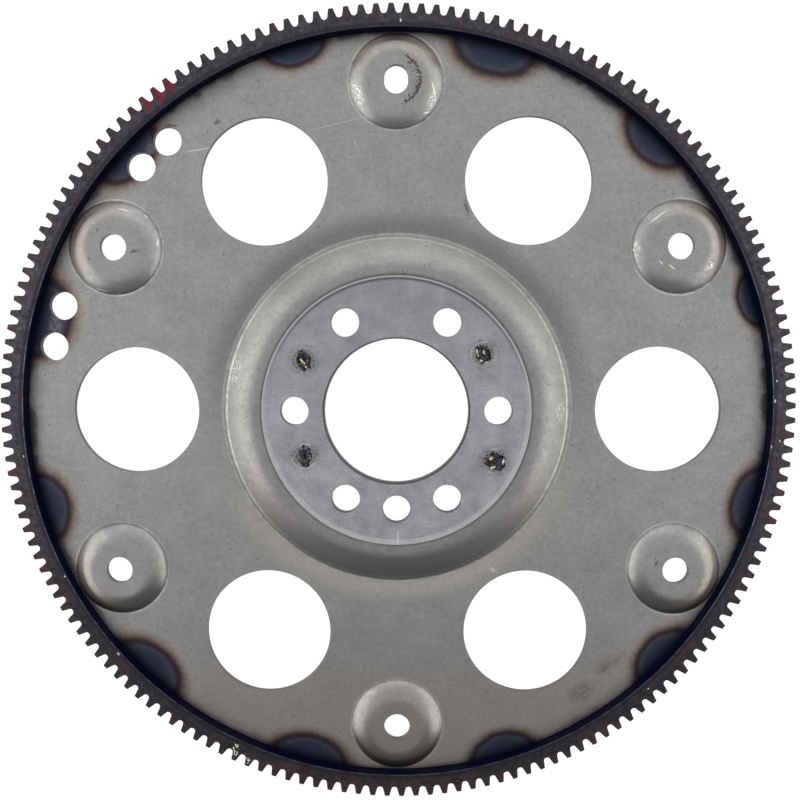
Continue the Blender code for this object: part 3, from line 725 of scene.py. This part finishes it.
# Painted shade on the upper side of the rim's lip, and painted highlights on its lower side and along its
# outer edge, strongest at the top.
shaded = mask(tree, (out, 0.0578, 0.0586), (out, 0.0594, 0.059))
toned = layer(tree, toned, "414145", shaded, (high, 0.0, 0.058, 0.0, 0.95))
toned = layer(tree, toned, "c2c1bd", (out, 0.0576, 0.0584), (high, 0.03, -0.02, 0.05, 0.25))
toned = layer(tree, toned, "c6c6c4", (out, 0.0592, 0.0595), (high, -0.03, 0.05, 0.1, 0.55))
toned = layer(tree, toned, "3a3a3b", (out, 0.0332, 0.0326, 0.0, 0.85))
scribe = near_marks(tree, where, [SCRIBED_LINE])
toned = layer(tree, toned, "d8d8d6", (scribe, 1.2, 0.8, 0.0, 0.75))
weld_gap = near_marks(tree, where, WELD_SMUDGES)
burnt = mask(tree, weld_gap, mask(tree, pattern(tree, where, "Noise", 2.6, Detail=4.0), 0.9), by="ADD")
toned = layer(tree, toned, "65605e", (burnt, 1.8, 1.0, 0.0, 0.6))
spatter = mask(tree, (burnt, 1.7, 1.2), (pattern(tree, where, "Noise", 1.1, Detail=4.0), 0.52, 0.6))
toned = layer(tree, toned, "3b3a3f", spatter, 0.65)
ring_gap = mask(tree, weld_gap, mask(tree, clouds, 0.2), by="ADD")
pale_ring = mask(tree, (ring_gap, 0.94, 1.0), (ring_gap, 1.12, 1.05))
toned = layer(tree, toned, "b4b4b2", pale_ring, (clouds, 0.42, 0.58, 0.05, 0.5))
# Painted shade: the upper half of the disc is a little darker.
toned = layer(tree, toned, "6c6e74", (high, 0.0, 0.05, 0.0, 0.3))
# Painted shade: the upright walls are near black, and below they are made non-metallic and barely specular.
wall = upright_share(tree)
toned = layer(tree, toned, "262626", wall, 0.9)
tree.links.new(toned, shader.inputs["Base Color"])
tree.links.new(mask(tree, (wall, 0.0, 1.0, 1.0, 0.0)), shader.inputs["Metallic"])
tree.links.new(mask(tree, (wall, 0.0, 1.0, 0.5, 0.1)), shader.inputs["Specular IOR Level"])
tree.links.new(mask(tree, (tone, 0.35, 0.65, 0.46, 0.36)), shader.inputs["Roughness"])
bump = add_node(tree, "ShaderNodeBump", {"Height": tooth, "Strength": 0.16, "Distance": 0.0001})
tree.links.new(bump.outputs[0], shader.inputs["Normal"])
disc.data.materials.append(disc_steel)


# Weld spots: four plug welds burnt through the disc into the hub of the sheet. Each is a ragged
# crater of torn metal, with a blue-black core and straw-coloured glints on its broken edges.
WELD_FORMS = ((3.1, 4.5, 14.0), (2.9, 5.0, 20.0), (2.9, 4.6, 0.0), (5.0, 3.9, -32.0))
WELD_FOOT = 2.85 * MM
WELD_RISE = 0.34 * MM
WELD_DEPTH = 1.1 * MM
WELD_CREST = 0.37 * MM
FLARE = 0.2
RAGGED = 0.34
HOLLOW = 0.62
disc_face = disc_top - lip
craters = []
for index, ((angle, radius), (half_x, half_y, turn)) in enumerate(zip(HUB_WELDS, WELD_FORMS)):
    bpy.ops.object.select_all(action="DESELECT")
    bpy.ops.mesh.primitive_ico_sphere_add(subdivisions=6, radius=1.0, location=(0.0, 0.0, 0.0))
    crater = bpy.context.object
    centre = around(radius * MM, angle)
    lean = math.radians(turn)
    for vert in crater.data.vertices:
        x, y, z = vert.co
        flat = math.hypot(x, y)
        seed = Vector((x * 1.9, y * 1.9, 7.3 * index))
        if z <= 0.0:
            sunk = disc_face + z * (disc_face - DISC_BOTTOM)
            vert.co = centre + Vector((x * WELD_FOOT, y * WELD_FOOT, sunk))
            continue
        flare = min(1.0, z / FLARE)
        ragged = 1.0 + RAGGED * noise.noise(seed) * flare
        wide = WELD_FOOT + (half_x * MM * ragged - WELD_FOOT) * flare
        deep = WELD_FOOT + (half_y * MM * ragged - WELD_FOOT) * flare
        across, along = x * wide, y * deep
        lumps = noise.turbulence(seed * 2.6, 4, False)
        hollow = min(1.0, 1.6 * max(0.0, 1.0 - flat / HOLLOW))
        rise = flare * WELD_RISE * (0.15 + 1.3 * lumps) - hollow * WELD_DEPTH * (0.5 + lumps)
        vert.co = (
            centre.x + across * math.cos(lean) - along * math.sin(lean),
            centre.y + across * math.sin(lean) + along * math.cos(lean),
            disc_face + min(rise, WELD_CREST),
        )
    finish_piece(crater, "plug_weld_%d" % (index + 1), 60.0)
    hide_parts("hub_weld_%d" % (index + 1))
    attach(crater, "root")
    craters.append(crater)


def beside(index, across, up, half_x, half_y, turn=0.0):
    """An oval mark this far from the middle of a weld, as radius, angle, half sizes and turn."""
    angle, radius = HUB_WELDS[index]
    spot = around(radius, angle) + Vector((across, up, 0.0))
    place = math.degrees(math.atan2(spot.y, spot.x))
    return (spot.length, place, half_x, half_y, turn - place)


# Burnt weld metal. It reads as a slate-blue core in black and brown scale, with pale straw and
# white glints where the torn crests catch the light.
CORES = [
    beside(0, -0.4, 1.9, 1.8, 1.7), beside(1, 0.2, 0.4, 1.2, 3.0, 14.0), beside(2, 0.0, 0.5, 2.1, 3.4),
    beside(3, 1.5, -0.7, 1.8, 2.7, 20.0),
]
GLINTS = [
    beside(0, -0.3, -0.9, 1.1, 0.45, -42.0), beside(0, 0.9, -3.0, 0.5, 0.45),
    beside(1, -2.6, 0.5, 0.35, 1.6, 12.0), beside(1, -0.9, -3.0, 0.6, 0.5),
    beside(1, 1.4, -3.9, 1.2, 0.5, 8.0), beside(1, 0.2, 0.9, 0.4, 1.1, 14.0),
    beside(2, -2.5, -0.1, 0.2, 0.9), beside(2, 2.4, -0.6, 0.2, 0.9), beside(3, -1.3, 1.4, 0.9, 0.7),
    beside(3, 3.9, -0.1, 0.35, 1.2, -10.0), beside(3, -0.8, -2.8, 1.2, 0.5, 20.0),
]
burnt, tree, shader, where = new_material("Burnt plug weld steel")
flecks = pattern(tree, where, "Noise", 1.7, Detail=4.0, Roughness=0.7)
toned = add_node(tree, "ShaderNodeValToRGB", {"Fac": flecks}, stops=(
    (0.32, "131318"), (0.45, "232229"), (0.54, "3b342f"), (0.62, "5d564f"), (0.7, "8a857d"),
)).outputs[0]
core = mask(tree, near_marks(tree, where, CORES), mask(tree, flecks, 0.6), by="ADD")
toned = layer(tree, toned, "303944", (core, 1.45, 1.05, 0.0, 0.85))
glint = mask(tree, near_marks(tree, where, GLINTS), mask(tree, flecks, 3.0), by="ADD")
straw = add_node(tree, "ShaderNodeValToRGB", {"Fac": flecks}, stops=((0.38, "ece5cf"), (0.6, "b5a98a")))
toned = layer(tree, toned, straw.outputs[0], (glint, 2.75, 2.2, 0.0, 0.9))
tree.links.new(toned, shader.inputs["Base Color"])
shader.inputs["Metallic"].default_value = 1.0
tree.links.new(mask(tree, (flecks, 0.35, 0.65, 0.28, 0.5)), shader.inputs["Roughness"])
bump = add_node(tree, "ShaderNodeBump", {"Height": flecks, "Strength": 0.7, "Distance": 0.0003})
tree.links.new(bump.outputs[0], shader.inputs["Normal"])
for crater in craters:
    crater.data.materials.append(burnt)


# Ring welds: twelve fillet beads on the back, run round in the corner between the ring's bore and
# the sheet. Each shows the even ripples of one pass and blued, scaled metal.
BEAD_CENTRE = (166.75 * MM, 1.02 * MM)
BEAD_HALF = (1.3 * MM, 0.6 * MM)
BEAD_LEAN = 22.0
BEAD_LENGTH = 21.0 * MM
BEADS = 12
BEAD_START = 15.0
BEAD_SEGMENTS = 16
RIPPLE = 1.3 * MM
RIPPLE_DEPTH = 0.13
FULL_RUN = 0.9
RUN_STEPS = 64
bpy.ops.object.select_all(action="DESELECT")
bpy.ops.mesh.primitive_circle_add(vertices=BEAD_SEGMENTS, radius=1.0, location=(0.0, 0.0, 0.0))
beads = bpy.context.object
start_edit(beads)
bpy.ops.mesh.select_all(action="SELECT")
bpy.ops.transform.resize(value=(BEAD_HALF[0], BEAD_HALF[1], 1.0))
bpy.ops.object.mode_set(mode="OBJECT")
beads.rotation_euler = (math.radians(90.0), math.radians(BEAD_LEAN), 0.0)
beads.location = (BEAD_CENTRE[0], 0.0, BEAD_CENTRE[1])
bpy.ops.object.transform_apply(location=True, rotation=True)
beads.rotation_euler.z = BEAD_LENGTH / BEAD_CENTRE[0] / 2.0
bpy.ops.object.transform_apply(rotation=True)
start_edit(beads)
bpy.ops.mesh.select_all(action="SELECT")
bpy.ops.mesh.spin(steps=RUN_STEPS, angle=BEAD_LENGTH / BEAD_CENTRE[0], center=(0, 0, 0), axis=(0, 0, 1))
bpy.ops.object.mode_set(mode="OBJECT")
for vert in beads.data.vertices:
    turned = math.atan2(vert.co.y, vert.co.x)
    run = abs(turned) * BEAD_CENTRE[0] / (BEAD_LENGTH / 2.0)
    ripple = 1.0 - RIPPLE_DEPTH * abs(math.sin(math.pi * turned * BEAD_CENTRE[0] / RIPPLE))
    swell = ripple * math.sqrt(max(0.04, 1.0 - max(0.0, (run - FULL_RUN) / (1.0 - FULL_RUN)) ** 2))
    middle = Vector((BEAD_CENTRE[0] * math.cos(turned), BEAD_CENTRE[0] * math.sin(turned), BEAD_CENTRE[1]))
    vert.co = middle + (vert.co - middle) * swell
start_edit(beads)
pick(beads, "edges", lambda p, e: e.is_boundary)
bpy.ops.mesh.fill_holes(sides=BEAD_SEGMENTS)
bpy.ops.mesh.select_all(action="SELECT")
bpy.ops.mesh.normals_make_consistent(inside=False)
last_turn = 2.0 * math.pi / BEADS * (BEADS - 1)
bpy.ops.mesh.spin(steps=BEADS - 1, dupli=True, angle=last_turn, center=(0, 0, 0), axis=(0, 0, 1))
bpy.ops.object.mode_set(mode="OBJECT")
beads.rotation_euler.z = math.radians(BEAD_START)
finish_piece(beads, "ring_beads", 50.0)
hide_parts(*["ring_weld_%02d" % (i + 1) for i in range(BEADS)])
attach(beads, "root")

# Scaled weld bead steel. It reads as dull blue-grey with brown scale between the ripples.
bead_steel, tree, shader, where = new_material("Scaled weld bead steel")
scale_spots = pattern(tree, where, "Noise", 1.6, Detail=4.0, Roughness=0.6)
toned = add_node(
    tree, "ShaderNodeValToRGB", {"Fac": scale_spots},
    stops=((0.34, "26242a"), (0.48, "47464d"), (0.58, "5d554f"), (0.68, "807b76"))).outputs[0]
tree.links.new(toned, shader.inputs["Base Color"])
shader.inputs["Metallic"].default_value = 0.9
shader.inputs["Roughness"].default_value = 0.42
bump = add_node(tree, "ShaderNodeBump", {"Height": scale_spots, "Strength": 0.3, "Distance": 0.0002})
tree.links.new(bump.outputs[0], shader.inputs["Normal"])
beads.data.materials.append(bead_steel)


# Stage: a white sweep under the part, four soft lamps (overhead, and beyond the top, left and right
# of the picture), and the photograph's camera, a little above the middle and about 400 mm away.
FLOOR_SIZE = 12.0
CAMERA_LENS = 39.386
CAMERA_SENSOR = 36.0
CAMERA_PLACE = (0.0054525, 0.0289468, 0.40244)
CAMERA_TURN = (-0.061696, 0.009752, -0.001194)
bpy.ops.object.select_all(action="DESELECT")
bpy.ops.mesh.primitive_plane_add(size=FLOOR_SIZE, location=(0.0, 0.0, 0.0))
floor = bpy.context.object
floor.name = "floor"

# Matt white paper. It reads as plain white to the camera, and still takes the part's soft shadow.
white_sweep, tree, shader, where = new_material("White paper sweep")
shader.inputs["Base Color"].default_value = srgb("f4f4f4")
shader.inputs["Roughness"].default_value = 0.9
glow = add_node(tree, "ShaderNodeEmission", {"Color": srgb("ffffff"), "Strength": 1.09})
rays = add_node(tree, "ShaderNodeLightPath")
seen = mask(tree, rays.outputs["Is Camera Ray"], rays.outputs["Is Glossy Ray"], by="ADD")
share = mask(tree, seen, 0.9)
blend = add_node(tree, "ShaderNodeMixShader", {0: share, 1: shader.outputs[0], 2: glow.outputs[0]})
tree.links.new(blend.outputs[0], tree.nodes["Material Output"].inputs["Surface"])
floor.data.materials.append(white_sweep)

world = bpy.data.worlds.new("studio")
bpy.context.scene.world = world
world.use_nodes = True
world.node_tree.nodes["Background"].inputs["Color"].default_value = srgb("d8dce0")
world.node_tree.nodes["Background"].inputs["Strength"].default_value = 0.28


def softbox(name, place, size, power):
    """A soft oblong lamp that faces the part."""
    lamp = bpy.data.lights.new(name, "AREA")
    lamp.shape = "RECTANGLE"
    lamp.size = size[0]
    lamp.size_y = size[1]
    lamp.energy = power
    obj = bpy.data.objects.new(name, lamp)
    obj.location = place
    obj.rotation_euler = (-Vector(place)).to_track_quat("-Z", "Y").to_euler()
    bpy.context.scene.collection.objects.link(obj)


softbox("ceiling", (0.0, 0.22, 1.5), (2.6, 2.2), 15.5)
softbox("top", (0.0, 1.5, 0.85), (2.4, 1.3), 16.0)
softbox("left", (-1.5, 0.0, 0.85), (2.5, 1.3), 26.0)
softbox("right", (1.5, 0.0, 0.85), (2.5, 1.3), 22.5)

camera = bpy.data.objects.new("camera", bpy.data.cameras.new("camera"))
camera.data.sensor_width = CAMERA_SENSOR
camera.data.lens = CAMERA_LENS
camera.data.clip_start = 0.01
camera.location = CAMERA_PLACE
camera.rotation_euler = CAMERA_TURN
bpy.context.scene.collection.objects.link(camera)
bpy.context.scene.camera = camera
bpy.context.scene.view_settings.view_transform = "Standard"
